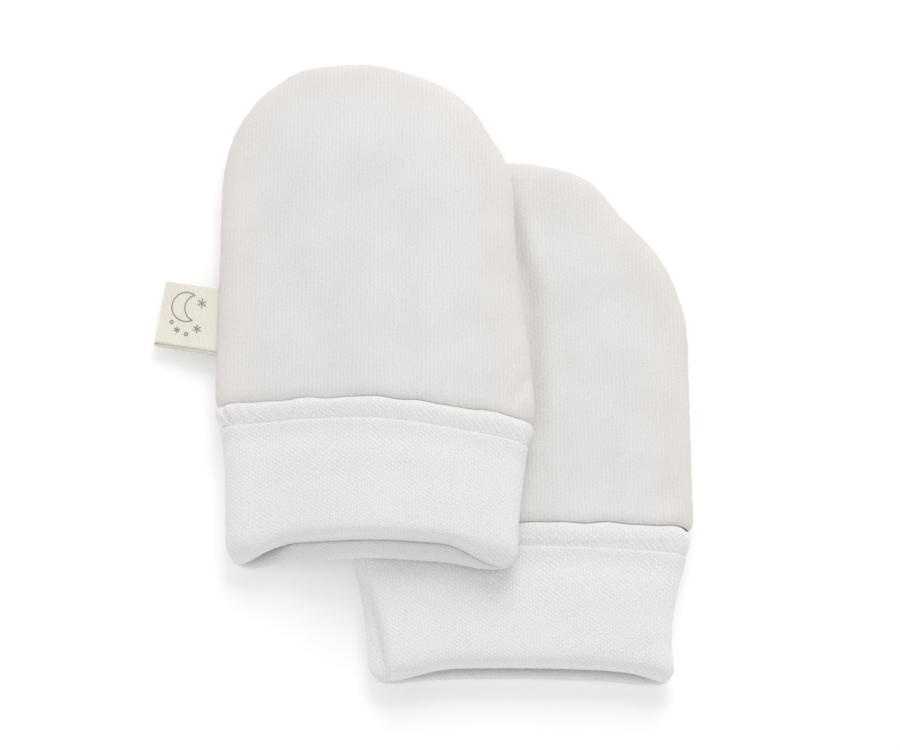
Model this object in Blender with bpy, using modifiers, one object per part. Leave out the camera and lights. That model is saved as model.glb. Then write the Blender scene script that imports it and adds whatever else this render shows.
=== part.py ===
"""A pair of thumbless baby mittens, laid flat, the left one resting partly on the right one.

Each mitten is a front and a back panel of body knit, joined round the rim, and a rib cuff that is
sewn to the hem and turned back outward. The left mitten has a folded label in its side seam.
The surface that they lie on is z = 0, +Y points to the fingertips, and the origin is the middle of
the footprint. Tables are in millimetres, and finished points are turned into metres.
"""
import math
from collections import namedtuple

import bmesh
import bpy
import numpy as np

MM = 0.001
FOOTPRINT_MIDDLE = (-0.63, 2.58)  # in the tables' own coordinates; the model's origin
COLLECTION = "Baby mittens"

# ---- cloth ----
BODY_WALL = 1.6        # soft interlock, as a wall
CUFF_WALL = 1.2        # rib, as a wall
SEAM_GAP = 0.3         # between two pieces that are sewn together
LAYER_GAP = 0.4        # between the cuff's inner tube and its turned-back layer

# ---- a mitten's section, across the hand ----
RIM_HEIGHT = 4.7       # the side seam's height above what the mitten lies on
RIM_ROLL = 4.5         # how far in from the rim the cloth rolls over to flat
TOP_RISE = 3.8         # rise of that roll above the side seam
CROWN_RISE = 1.5       # further rise from the roll to the middle
CROWN_REACH = 28.0     # distance in from the rim where the crown is full
SKIRT = 0.5            # short upright strip beside the side seam

# ---- the hem, where the body is gathered onto the cuff ----
HEM_LIP = 0.6
HEM_ROLL = 4.5
HEM_TUCK_SIDE = 1.2    # how far the body tucks in at its sides
HEM_TUCK = 0.8         # how far it tucks in at its top and underside

# ---- the cuff ----
CUFF_RIM_HEIGHT = 5.1
CUFF_ROLL = 5.0
CUFF_TOP_RISE = 4.7
CUFF_CROWN = 0.4
STRIP = 6.0            # height of the inner tube that shows above the turned edge
MOUTH_CORNER = 3.0     # rounding of the mouth's two corners, seen from above
MOUTH_DROP = 3.6       # how far the front sinks towards the back at the mouth
MOUTH_DROP_REACH = 11.0
BOTTOM_ROUND = 0.5 * (2 * CUFF_WALL + LAYER_GAP)

# ---- how the left mitten climbs onto the right one ----
CLIMB_START = -48.0
CLIMB_END = -7.0
CLIMB_BEND = 5.0       # half length of the soft bend at either end
CLIMB_HEIGHT = 10.8
TIP_DROOP = 0.3        # share of the height that the fingertips lose
TIP_DROOP_START = 52.0
TIP_DROOP_LENGTH = 28.0

# ---- mesh steps ----
PANEL_COLUMNS = 16
DOME_STEP = 9          # degrees
RING_POINTS = 32

# The dome is two quarters of a superellipse that meet at the tip. wide and high are a quarter's
# half axes, power its squareness, and flare how much wider the side is at the hem.
Quarter = namedtuple("Quarter", "wide high power flare")
# A row runs across the mitten from its left edge to its right edge, arched in the middle.
Row = namedtuple("Row", "left_x left_y right_x right_y arch")
# A dent moves the dome's edge in by depth, where the quarter's angle is centre, give or take reach.
Dent = namedtuple("Dent", "side centre reach depth")
# A mitten's front is shorter than its back at the cuff's mouth by front_shorter.
Mitten = namedtuple("Mitten", "name tip_x tip_y left right hem cuff dents front_shorter raised")

LEFT_MITTEN = Mitten(
    name="left_mitten", tip_x=-24.0, tip_y=82.7,
    left=Quarter(wide=28.0, high=36.4, power=2.35, flare=0.2),
    right=Quarter(wide=46.8, high=43.0, power=2.1, flare=4.5),
    hem=Row(-52.2, -8.3, 27.3, -16.0, 2.4),
    cuff=(  # at the hem, at the turned edge, a third and two thirds down, and at the mouth
        Row(-51.8, -8.3, 26.9, -16.0, 2.4),
        Row(-50.6, -13.9, 25.6, -21.8, 2.8),
        Row(-49.2, -24.5, 24.2, -31.5, 2.0),
        Row(-48.7, -36.0, 23.1, -41.5, 1.0),
        Row(-48.3, -48.0, 22.9, -51.6, 0.9)),
    dents=(Dent("left", 59, 14, 0.3), Dent("left", 42, 14, 0.3), Dent("left", 77, 13, -0.3),
           Dent("right", 50, 20, -0.8), Dent("right", 28, 13, 0.7)),
    front_shorter=4.4,
    raised=True)

RIGHT_MITTEN = Mitten(
    name="right_mitten", tip_x=23.0, tip_y=57.4,
    left=Quarter(wide=40.0, high=44.0, power=2.3, flare=1.5),
    right=Quarter(wide=43.3, high=55.4, power=2.0, flare=0.0),
    hem=Row(-18.5, -40.2, 66.2, -39.8, 1.4),
    cuff=(
        Row(-18.3, -40.2, 65.3, -39.8, 1.4),
        Row(-17.7, -45.8, 64.7, -46.4, 1.6),
        Row(-15.2, -56.4, 61.5, -57.0, 1.0),
        Row(-13.7, -66.8, 60.1, -67.3, 1.0),
        Row(-13.0, -77.2, 60.8, -77.8, 1.3)),
    dents=(Dent("right", 48, 18, 1.6), Dent("right", 66, 16, -0.7), Dent("right", 22, 14, -0.6),
           Dent("right", 11, 12, -0.5)),
    front_shorter=2.4,
    raised=False)

# The label's corners in plan: at the side seam, and at the fold, which droops.
LABEL_SEAM = ((-52.6, 6.2), (-52.6, 23.0))
LABEL_FOLD = ((-67.6, 9.4), (-65.3, 25.8))
LABEL_SEAM_HEIGHT = 4.7
LABEL_FOLD_HEIGHT = 2.8
LABEL_THICKNESS = 1.0

BODY_KNIT = ("Body knit", (0.76, 0.75, 0.735), 0.92)
RIB_CUFF = ("Rib cuff", (0.80, 0.79, 0.78), 0.90)
LABEL_TAPE = ("Label tape", (0.82, 0.79, 0.70), 0.80)


def metres(point):
    """A point of the tables, in millimetres, as a place in the model."""
    x, y, z = point
    return ((x - FOOTPRINT_MIDDLE[0]) * MM, (y - FOOTPRINT_MIDDLE[1]) * MM, z * MM)


def smoothstep(value):
    value = np.clip(value, 0.0, 1.0)
    return value * value * (3.0 - 2.0 * value)


def quarter_round(value):
    """0 to 1 along a quarter circle: upright at 0, level from 1 on."""
    value = np.clip(value, 0.0, 1.0)
    return np.sqrt(1.0 - (1.0 - value) ** 2)


def crown(value):
    value = np.clip(value, 0.0, 1.0)
    return 1.0 - (1.0 - value) ** 2


def climb(x, y):
    """Height that the left mitten's underside gains as it climbs onto the right one."""
    low = CLIMB_START + CLIMB_BEND
    high = CLIMB_END - CLIMB_BEND
    slope = CLIMB_HEIGHT / (high - low)

    def bend(offset):
        inner = np.clip((offset + CLIMB_BEND) / (2.0 * CLIMB_BEND), 0.0, None)
        return np.where(inner < 1.0, CLIMB_BEND * inner ** 2, offset)

    height = slope * (bend(x - low) - bend(x - high))
    droop = TIP_DROOP * smoothstep((y - TIP_DROOP_START) / TIP_DROOP_LENGTH)
    return height * (1.0 - droop)


def dome_point(mitten, side, degrees):
    """A point on the dome's edge, from 0 degrees at the side to 90 at the tip."""
    quarter = getattr(mitten, side)
    sign = -1.0 if side == "left" else 1.0
    angle = math.radians(degrees)
    across = max(math.cos(angle), 0.0) ** (2.0 / quarter.power)
    along = math.sin(angle) ** (2.0 / quarter.power)
    inward = 0.0
    for dent in mitten.dents:
        if dent.side == side and abs(degrees - dent.centre) < dent.reach:
            wave = math.cos(math.pi * (degrees - dent.centre) / dent.reach)
            inward += 0.5 * dent.depth * (1.0 + wave)
    x = mitten.tip_x + sign * (quarter.wide * across - inward * math.cos(angle))
    y = mitten.tip_y - quarter.high * (1.0 - along) - inward * math.sin(angle)
    return x, y


def side_point(mitten, side, share):
    """A point on the straight edge, from share 0 at the hem to 1 where the dome starts."""
    quarter = getattr(mitten, side)
    sign = -1.0 if side == "left" else 1.0
    hem_y = getattr(mitten.hem, side + "_y")
    start_x, start_y = dome_point(mitten, side, 0.0)
    x = start_x + sign * quarter.flare * float(smoothstep(1.0 - share))
    return x, hem_y + share * (start_y - hem_y)


def body_rows(mitten):
    """Rows from the hem to the tip, each with the share of the hem's tuck that it has."""
    length = mitten.tip_y - mitten.left.high - mitten.hem.left_y
    shares = [(0.0, 1.0), (HEM_LIP, 1.0), (0.45 * HEM_ROLL, 0.35), (HEM_ROLL, 0.0)]
    shares += [(length * part, 0.0) for part in (0.3, 0.65)]
    rows = []
    for distance, tuck in shares:
        share = distance / length
        left = side_point(mitten, "left", share)
        right = side_point(mitten, "right", share)
        rows.append((Row(*left, *right, mitten.hem.arch * (1.0 - share)), tuck))
    for degrees in range(0, 91, DOME_STEP):
        rows.append(dome_row(mitten, degrees))
    if 90 % DOME_STEP:
        rows.append(dome_row(mitten, 90))
    return rows


def dome_row(mitten, degrees):
    left = dome_point(mitten, "left", degrees)
    right = dome_point(mitten, "right", degrees)
    return Row(*left, *right, 0.0), 0.0


def plan_point(row, across):
    """Where a row is, from across -1 at its left edge to 1 at its right edge."""
    share = 0.5 * (across + 1.0)
    x = row.left_x + share * (row.right_x - row.left_x)
    y = row.left_y + share * (row.right_y - row.left_y) + row.arch * (1.0 - across ** 2)
    return x, y


def from_edge(points, edge):
    """Distance in plan from each point to the body's edge, and the direction away from it."""
    start = edge[:-1][None, :, :]
    run = (edge[1:] - edge[:-1])[None, :, :]
    offset = points[:, None, :] - start
    share = np.clip((offset * run).sum(2) / (run * run).sum(2), 0.0, 1.0)
    distance = np.sqrt(((offset - share[..., None] * run) ** 2).sum(2))
    nearest = distance.argmin(1)
    along = run[0][nearest]
    away = np.stack([along[:, 1], -along[:, 0]], 1) / np.linalg.norm(along, axis=1)[:, None]
    return distance.min(1), away


def body_edge(rows):
    """The side seam in plan: up the left edge, over the tip and down the right edge."""
    left = [(row.left_x, row.left_y) for row, _ in rows]
    right = [(row.right_x, row.right_y) for row, _ in rows[:-1]]
    below = [(left[0][0], left[0][1] - HEM_ROLL)]
    below_right = [(right[0][0], right[0][1] - HEM_ROLL)]
    return np.array(below + left + right[::-1] + below_right)


def make_material(finish):
    name, colour, roughness = finish
    material = bpy.data.materials.new(name)
    material.use_nodes = True
    shader = material.node_tree.nodes["Principled BSDF"]
    shader.inputs["Base Color"].default_value = (*colour, 1.0)
    shader.inputs["Roughness"].default_value = roughness
    shader.inputs["Metallic"].default_value = 0.0
    return material


def new_object(name, bm, finish, collection):
    mesh = bpy.data.meshes.new(name)
    bmesh.ops.recalc_face_normals(bm, faces=bm.faces)
    bm.to_mesh(mesh)
    bm.free()
    mesh.shade_smooth()
    mesh.materials.append(bpy.data.materials.get(finish[0]) or make_material(finish))
    obj = bpy.data.objects.new(name, mesh)
    collection.objects.link(obj)
    return obj


def loft(name, rings, closed, finish, collection):
    """A grid laid through the rings; each ring is closed, and closed joins the last to the first."""
    around = len(rings[0])
    steps = len(rings) if closed else len(rings) - 1
    bm = bmesh.new()
    bmesh.ops.create_grid(bm, x_segments=around, y_segments=steps, size=0.5)
    for vert in bm.verts:
        column = round((vert.co.x + 0.5) * around) % around
        ring = round((vert.co.y + 0.5) * steps) % len(rings)
        vert.co = metres(rings[ring][column])
    bmesh.ops.remove_doubles(bm, verts=bm.verts, dist=0.01 * MM)
    return new_object(name, bm, finish, collection)


def panel_row(mitten, face, row, tuck, edge):
    """A row's points on the cloth's outer side and on its inner side, from left to right."""
    turns = np.linspace(0.0, math.pi, PANEL_COLUMNS - 1)
    across = -np.cos(np.concatenate([[0.0], turns, [math.pi]]))
    x, y = plan_point(row, across)
    inset, away = from_edge(np.stack([x, y], 1), edge)
    if row.right_x - row.left_x < 0.01:  # the tip, where a row is one point
        away[:] = (0.0, -1.0)
    x = x - across * tuck * HEM_TUCK_SIDE
    upright = 1.0 - np.clip(inset / RIM_ROLL, 0.0, 1.0)
    level = quarter_round(inset / RIM_ROLL)
    rise = section_rise(inset, face) - tuck * HEM_TUCK * level
    outer = [x, y, np.maximum(rise, SKIRT)]
    inner_x = x + BODY_WALL * upright * away[:, 0]
    inner_y = y + BODY_WALL * upright * away[:, 1]
    inner = [inner_x, inner_y, np.maximum(rise - BODY_WALL * level, SKIRT)]
    for side in (outer, inner):
        side[2][[0, -1]] = 0.5 * SEAM_GAP
        side[2] = RIM_HEIGHT + face * side[2]
        if mitten.raised:
            side[2] = side[2] + climb(side[0], side[1])
    return np.stack(outer, 1), np.stack(inner, 1)


def make_panel(mitten, face, collection):
    """Front (face 1) or back (face -1): its outer and inner sides as one wall, capped at the hem."""
    rows = body_rows(mitten)
    edge = body_edge(rows)
    rings = []
    for row, tuck in rows:
        outer, inner = panel_row(mitten, face, row, tuck, edge)
        if not rings:
            rings.append(np.concatenate([inner, inner[::-1]]))
        rings.append(np.concatenate([outer, inner[::-1]]))
    name = mitten.name + ("_front" if face > 0 else "_back")
    return loft(name, rings, False, BODY_KNIT, collection)


def section_rise(inset, face):
    """Height above the side seam, or depth below it, at a distance in from the rim."""
    roll = quarter_round(inset / RIM_ROLL)
    if face < 0:
        return RIM_HEIGHT * roll
    return TOP_RISE * roll + CROWN_RISE * crown(inset / CROWN_REACH)


def row_at(rows, position):
    """A row between the cuff's table rows, on a smooth curve through them."""
    index = min(int(position), len(rows) - 2)
    part = position - index
    before = rows[max(index - 1, 0)]
    start = rows[index]
    end = rows[index + 1]
    after = rows[min(index + 2, len(rows) - 1)]
    values = []
    for a, b, c, d in zip(before, start, end, after):
        slope_in = 0.5 * (c - a)
        slope_out = 0.5 * (d - b)
        curve = (2 * b - 2 * c + slope_in + slope_out) * part ** 3
        curve += (3 * c - 3 * b - 2 * slope_in - slope_out) * part ** 2
        values.append(curve + slope_in * part + b)
    return Row(*values)


def cuff_length(mitten):
    return mitten.cuff[0].left_y - mitten.cuff[-1].left_y


def table_position(mitten, distance):
    """Turn a distance down from the hem into a position in the cuff's table."""
    marks = [mitten.cuff[0].left_y - row.left_y for row in mitten.cuff]
    return float(np.interp(distance, marks, range(len(marks))))


def cuff_profile(length):
    """The cuff's wall, cut lengthwise, as a closed loop of (distance from hem, inset) points.

    It runs down the outside of the inner tube and into the slot under the turned-back layer, up
    and over the turned edge, down the outside, round the bottom fold and up the inside.
    """
    tube_out = CUFF_WALL + LAYER_GAP
    strip = [(0.0, 0.8), (1.4, 0.1), (3.0, 0.0), (4.6, 0.5), (6.0, tube_out)]
    levels = [length * part for part in (0.35, 0.6, 0.78, 0.89)]
    bottom = length - BOTTOM_ROUND
    loop = [(SEAM_GAP + along, inset) for along, inset in strip]
    loop += [(level, tube_out) for level in levels]
    loop += arc(bottom, BOTTOM_ROUND, 0.5 * LAYER_GAP, 90, -90, 2)
    loop += [(level, CUFF_WALL) for level in reversed(levels)]
    edge = STRIP + 0.5 * CUFF_WALL
    loop += arc(edge, 0.5 * CUFF_WALL, -0.5 * CUFF_WALL, 90, -90, 4)
    loop += [(level, 0.0) for level in levels]
    loop += arc(bottom, BOTTOM_ROUND, BOTTOM_ROUND, -90, 90, 5)
    loop += [(level, tube_out + CUFF_WALL) for level in reversed(levels)]
    inside = [(along, inset + CUFF_WALL) for along, inset in strip]
    loop += [(SEAM_GAP + along, inset) for along, inset in reversed(inside)]
    return loop


def arc(along, inset, radius, first, last, steps):
    """Points of a half circle; a negative radius makes it bulge towards the hem."""
    points = []
    for step in range(steps + 1):
        angle = math.radians(first + (last - first) * step / steps)
        points.append((along + radius * math.cos(angle),
                       inset + abs(radius) * math.sin(angle)))
    return points


def cuff_ring(row):
    """The cuff's outer section: plan across, height and inward normal for each ring point."""
    half = 0.5 * (row.right_x - row.left_x)
    turns = 2.0 * math.pi * np.arange(RING_POINTS) / RING_POINTS
    across = np.cos(turns)
    inset = half * (1.0 - np.abs(across))
    roll = quarter_round(inset / CUFF_ROLL)
    top = CUFF_TOP_RISE * roll + CUFF_CROWN * crown(inset / CROWN_REACH)
    height = CUFF_RIM_HEIGHT + np.where(np.sin(turns) >= 0.0, top, -CUFF_RIM_HEIGHT * roll)
    x = half * across
    run_x = np.roll(x, -1) - np.roll(x, 1)
    run_z = np.roll(height, -1) - np.roll(height, 1)
    size = np.hypot(run_x, run_z)
    return across, height, -run_z / size, run_x / size


def make_cuff(mitten, collection):
    """The wall's profile carried round the section and closed both ways."""
    length = cuff_length(mitten)
    rings = []
    for distance, inset in cuff_profile(length):
        row = row_at(mitten.cuff, table_position(mitten, distance))
        rings.append(place_ring(mitten, row, distance, inset))
    return loft(mitten.name + "_cuff", rings, True, RIB_CUFF, collection)


def place_ring(mitten, row, distance, inset):
    across, height, inward_x, inward_z = cuff_ring(row)
    length = cuff_length(mitten)
    share = distance / length
    sunk = max(distance - length + MOUTH_DROP_REACH, 0.0) / MOUTH_DROP_REACH
    half = 0.5 * (row.right_x - row.left_x)
    x, y = plan_point(row, across)
    topness = np.clip((height - CUFF_RIM_HEIGHT) / CUFF_TOP_RISE, 0.0, 1.0)
    y = y + mitten.front_shorter * topness * (1.0 - np.abs(across) ** 3) * share ** 5
    from_rim = np.clip(MOUTH_CORNER - half * (1.0 - np.abs(across)), 0.0, None)
    corner = MOUTH_CORNER - np.sqrt(MOUTH_CORNER ** 2 - from_rim ** 2)
    y = y + corner * share ** 8
    x = x + inset * inward_x
    z = height + inset * inward_z - MOUTH_DROP * sunk ** 2 * topness
    if mitten.raised:
        z = z + climb(x, y)
    return list(zip(x, y, z))


def make_label(collection):
    """A folded tape: a cube whose corners are moved to the seam and the drooping fold."""
    bm = bmesh.new()
    bmesh.ops.create_cube(bm, size=1.0)
    for vert in bm.verts:
        at_seam = vert.co.x > 0.0
        corners = LABEL_SEAM if at_seam else LABEL_FOLD
        x, y = corners[1 if vert.co.y > 0.0 else 0]
        height = LABEL_SEAM_HEIGHT if at_seam else LABEL_FOLD_HEIGHT
        vert.co = metres((x, y, height + vert.co.z * LABEL_THICKNESS))
    label = new_object("left_mitten_label", bm, LABEL_TAPE, collection)
    rounding = label.modifiers.new("Fold rounding", "BEVEL")
    rounding.width = 0.3 * LABEL_THICKNESS * MM
    rounding.segments = 2
    return label


def main():
    for obj in list(bpy.data.objects):
        bpy.data.objects.remove(obj)
    collection = bpy.data.collections.new(COLLECTION)
    bpy.context.scene.collection.children.link(collection)
    for mitten in (LEFT_MITTEN, RIGHT_MITTEN):
        make_panel(mitten, 1, collection)
        make_panel(mitten, -1, collection)
        make_cuff(mitten, collection)
    make_label(collection)


main()
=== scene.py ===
# %% [markdown]
# # A pair of baby mittens
#
# These are newborn mittens without a thumb: a soft cotton body, closed round the fingertips, and a
# rib cuff that is turned back on itself. They lie flat on a pale table, the left one partly on the
# right one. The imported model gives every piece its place, so it is loaded first and never changed.

# %% Load the fixed frame
import math
from collections import namedtuple

import bpy
import numpy as np
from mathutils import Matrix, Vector


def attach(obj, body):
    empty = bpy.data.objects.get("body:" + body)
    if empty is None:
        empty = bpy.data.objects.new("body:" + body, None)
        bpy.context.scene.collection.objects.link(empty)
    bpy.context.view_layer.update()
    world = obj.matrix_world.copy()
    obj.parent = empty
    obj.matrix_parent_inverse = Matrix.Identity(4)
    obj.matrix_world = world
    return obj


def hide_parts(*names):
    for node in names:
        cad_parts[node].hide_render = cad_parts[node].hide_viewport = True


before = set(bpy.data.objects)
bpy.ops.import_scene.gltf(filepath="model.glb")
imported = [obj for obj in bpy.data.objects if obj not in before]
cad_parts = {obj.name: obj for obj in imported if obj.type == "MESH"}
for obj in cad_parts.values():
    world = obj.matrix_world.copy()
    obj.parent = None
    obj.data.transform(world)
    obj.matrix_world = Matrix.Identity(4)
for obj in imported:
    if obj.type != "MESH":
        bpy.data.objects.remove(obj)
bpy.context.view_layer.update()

MM = 0.001
FOOTPRINT_MIDDLE = np.array([-0.63, 2.58])  # in the pattern's own coordinates; the frame's origin

# %% [markdown]
# ## Camera
#
# The pair is looked down on from the cuffs' side, 72 degrees above the table. A long lens from a
# good half metre away keeps the near cuff and the far fingertips at nearly the same scale.

# %% Camera
CAMERA_ELEVATION = math.radians(72.0)
CAMERA_DISTANCE = 625 * MM
LOOKED_AT = Vector((7.13 * MM, -2.58 * MM, 6.0 * MM))

backwards = Vector((0.0, -math.cos(CAMERA_ELEVATION), math.sin(CAMERA_ELEVATION)))
bpy.ops.object.select_all(action="DESELECT")
bpy.ops.object.camera_add(location=LOOKED_AT + CAMERA_DISTANCE * backwards,
                          rotation=(0.5 * math.pi - CAMERA_ELEVATION, 0.0, 0.0))
camera = bpy.context.object
camera.name = "Camera"
camera.data.lens = 100.0
camera.data.sensor_width = 36.0
camera.data.clip_start = 0.01
bpy.context.scene.camera = camera
print("camera at", [round(value, 3) for value in camera.location])

# %% [markdown]
# ## The pattern
#
# A mitten's outline is a few straight rows above the hem and a dome of two quarter superellipses.
# The tables hold what a pattern cutter would measure, in millimetres: how wide and high each
# quarter is, how square it is, where the hem runs, and how the cuff tapers to its mouth.

# %% The pattern's tables
Quarter = namedtuple("Quarter", "wide high power flare")
Row = namedtuple("Row", "left_x left_y right_x right_y arch")
Dent = namedtuple("Dent", "side centre reach depth")
Mitten = namedtuple("Mitten", "name tip_x tip_y left right hem cuff dents front_shorter raised")

LEFT_MITTEN = Mitten(
    name="left_mitten", tip_x=-24.0, tip_y=82.7,
    left=Quarter(wide=28.0, high=36.4, power=2.35, flare=0.2),
    right=Quarter(wide=46.8, high=43.0, power=2.1, flare=4.5),
    hem=Row(-52.2, -8.3, 27.3, -16.0, 2.4),
    cuff=(  # at the hem, at the turned edge, a third and two thirds down, and at the mouth
        Row(-51.8, -8.3, 26.9, -16.0, 2.4),
        Row(-50.6, -13.9, 25.6, -21.8, 2.8),
        Row(-49.2, -24.5, 24.2, -31.5, 2.0),
        Row(-48.7, -36.0, 23.1, -41.5, 1.0),
        Row(-48.3, -48.0, 22.9, -51.6, 0.9)),
    dents=(Dent("left", 59, 14, 0.3), Dent("left", 42, 14, 0.3), Dent("left", 77, 13, -0.3),
           Dent("right", 50, 20, -0.8), Dent("right", 28, 13, 0.7)),
    front_shorter=4.2,
    raised=True)

RIGHT_MITTEN = Mitten(
    name="right_mitten", tip_x=23.0, tip_y=57.4,
    left=Quarter(wide=40.0, high=44.0, power=2.3, flare=1.5),
    right=Quarter(wide=43.3, high=55.4, power=2.0, flare=0.0),
    hem=Row(-18.5, -40.2, 66.2, -39.8, 1.4),
    cuff=(
        Row(-18.3, -40.2, 64.8, -39.8, 1.4),
        Row(-17.7, -45.8, 64.4, -46.4, 1.6),
        Row(-15.2, -56.4, 61.5, -57.0, 1.0),
        Row(-13.7, -66.8, 60.1, -67.3, 1.0),
        Row(-13.0, -77.2, 60.8, -77.8, 1.3)),
    dents=(Dent("right", 48, 18, 1.6), Dent("right", 66, 16, -0.7), Dent("right", 22, 14, -0.6),
           Dent("right", 11, 12, -0.5)),
    front_shorter=1.9,
    raised=False)

print("mittens:", LEFT_MITTEN.name, RIGHT_MITTEN.name)

# %% [markdown]
# ## Curves that cloth makes
#
# Puffed cloth rolls over at its side seam and then rises slowly to the middle of the hand. Three
# small curves describe that: a smooth step, a rounded corner, and a slow crown. The left mitten
# also climbs from the table onto the right one, on a ramp with soft bends.

# %% Small curves
RIM_HEIGHT = 4.7       # the side seam's height above what the mitten lies on
RIM_ROLL = 6.2         # how far in from the rim the cloth rolls over to flat
ROLL_POWER = 2.15
TOP_RISE = 3.8
CROWN_RISE = 1.5
CROWN_REACH = 28.0
CLIMB_START = -48.0
CLIMB_END = -7.0
CLIMB_BEND = 5.0
CLIMB_HEIGHT = 10.8
TIP_DROOP = 0.3
TIP_DROOP_START = 52.0
TIP_DROOP_LENGTH = 28.0


def smoothstep(value):
    value = np.clip(value, 0.0, 1.0)
    return value * value * (3.0 - 2.0 * value)


def rounded(value, power=2.0):
    """0 to 1 round a corner: upright at 0, level from 1 on."""
    value = np.clip(value, 0.0, 1.0)
    return (1.0 - (1.0 - value) ** power) ** (1.0 / power)


def crown(value):
    value = np.clip(value, 0.0, 1.0)
    return 1.0 - (1.0 - value) ** 2


def uneven(place, period, seed):
    """A wave of about that period whose hills are never quite alike, from -1 to 1."""
    turn = 2.0 * math.pi * place / period
    hills = np.sin(turn + seed) + 0.6 * np.sin(1.64 * turn + 2.3 * seed)
    return 0.5 * (hills + 0.4 * np.sin(0.59 * turn + 3.1 * seed))


def climb(x, y):
    """Height that the left mitten gains as it climbs onto the right one."""
    low = CLIMB_START + CLIMB_BEND
    high = CLIMB_END - CLIMB_BEND
    slope = CLIMB_HEIGHT / (high - low)

    def bend(offset):
        inner = np.clip((offset + CLIMB_BEND) / (2.0 * CLIMB_BEND), 0.0, None)
        return np.where(inner < 1.0, CLIMB_BEND * inner ** 2, offset)

    droop = TIP_DROOP * smoothstep((y - TIP_DROOP_START) / TIP_DROOP_LENGTH)
    return slope * (bend(x - low) - bend(x - high)) * (1.0 - droop)


print("the left mitten's middle lies", round(float(climb(-5.0, 0.0)), 1), "mm above the table")

# %% [markdown]
# ## From a primitive grid to cloth
#
# A cloth simulation would spread and shrink these small pieces, and their shape is known, so each
# is laid one by one: a primitive grid is added, every vertex is moved to its place on the cloth, and
# doubles are merged where the wall closes on itself. The grid's own UV map is overwritten with each
# point's place in the flat knit, in millimetres, so the wales follow the cloth as it rolls over.

# %% Grid helper
MERGE_DISTANCE = 0.02 * MM


def cloth_from_grid(name, points, flat, shade):
    """points is (rows, columns, 3) and flat (rows, columns, 2), both in mm.

    The last argument is 0 to 1 at each point: how much painted shade the material lays on at the
    rim.
    """
    rows, columns = points.shape[:2]
    bpy.ops.object.select_all(action="DESELECT")
    bpy.ops.mesh.primitive_grid_add(x_subdivisions=columns - 1, y_subdivisions=rows - 1)
    cloth = bpy.context.object
    cloth.name = name
    mesh = cloth.data
    mesh.name = name
    placed = points.reshape(-1, 3).copy()
    placed[:, :2] -= FOOTPRINT_MIDDLE
    mesh.vertices.foreach_set("co", (placed * MM).ravel())
    corners = np.empty(len(mesh.loops), int)
    mesh.loops.foreach_get("vertex_index", corners)
    mesh.uv_layers.active.data.foreach_set("uv", flat.reshape(-1, 2)[corners].ravel())
    mesh.attributes.new("shade", "FLOAT", "POINT").data.foreach_set("value", shade.ravel())
    bpy.ops.object.mode_set(mode="EDIT")
    bpy.ops.mesh.select_all(action="SELECT")
    bpy.ops.mesh.remove_doubles(threshold=MERGE_DISTANCE)
    bpy.ops.mesh.normals_make_consistent(inside=False)
    bpy.ops.object.mode_set(mode="OBJECT")
    bpy.ops.object.shade_smooth()
    return cloth


def report(piece):
    mesh = piece.data
    mesh.calc_loop_triangles()
    size = [round(side / MM, 1) for side in piece.dimensions]
    print(piece.name, len(mesh.loop_triangles), "triangles,", size, "mm")


# %% [markdown]
# ## The body's outline
#
# The straight rows are closest together at the hem, where the cloth turns sharply, and the dome's
# rows are a degree and a half apart. Each row runs from the left side seam to the right one.

# %% Rows of the body
STRAIGHT_ROWS = 60
CLOSER_AT_HEM = 1.6    # power that draws the straight rows together towards the hem
DOME_STEP = 1.5        # degrees
COLUMNS = 110
ON_THE_EDGE = 0.05     # nearer to the edge than this, the way in is square to the edge


def dome_side(mitten, side, degrees):
    """The dome's edge from 0 degrees at the side to 90 at the tip."""
    quarter = getattr(mitten, side)
    sign = -1.0 if side == "left" else 1.0
    angle = np.radians(degrees)
    cosine = np.clip(np.cos(angle), 0.0, 1.0)
    across = cosine ** (2.0 / quarter.power)
    along = np.sin(angle) ** (2.0 / quarter.power)
    inward = np.zeros_like(degrees)
    for dent in mitten.dents:
        if dent.side == side:
            reach = np.clip(np.abs(degrees - dent.centre) / dent.reach, 0.0, 1.0)
            inward += 0.5 * dent.depth * (1.0 + np.cos(math.pi * reach))
    x = mitten.tip_x + sign * (quarter.wide * across - inward * cosine)
    y = mitten.tip_y - quarter.high * (1.0 - along) - inward * np.sin(angle)
    return np.stack([x, y], 1)


def straight_side(mitten, side, share):
    """The edge from share 0 at the hem to 1 where the dome starts."""
    quarter = getattr(mitten, side)
    sign = -1.0 if side == "left" else 1.0
    hem_y = getattr(mitten.hem, side + "_y")
    start = dome_side(mitten, side, np.array([0.0]))[0]
    x = start[0] + sign * quarter.flare * smoothstep(1.0 - share)
    return np.stack([x, hem_y + share * (start[1] - hem_y)], 1)


def body_rows(mitten):
    """Left ends, right ends and arch of every row, and its distance from the hem."""
    share = np.linspace(0.0, 1.0, STRAIGHT_ROWS, endpoint=False) ** CLOSER_AT_HEM
    degrees = np.arange(0.0, 90.0 + 0.5 * DOME_STEP, DOME_STEP)
    left, right = [
        np.concatenate([straight_side(mitten, side, share), dome_side(mitten, side, degrees)])
        for side in ("left", "right")]
    arch = np.concatenate([mitten.hem.arch * (1.0 - share), np.zeros(len(degrees))])
    length = mitten.tip_y - mitten.left.high - mitten.hem.left_y
    from_hem = np.concatenate([share * length, np.full(len(degrees), length)])
    return left, right, arch, from_hem


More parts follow.
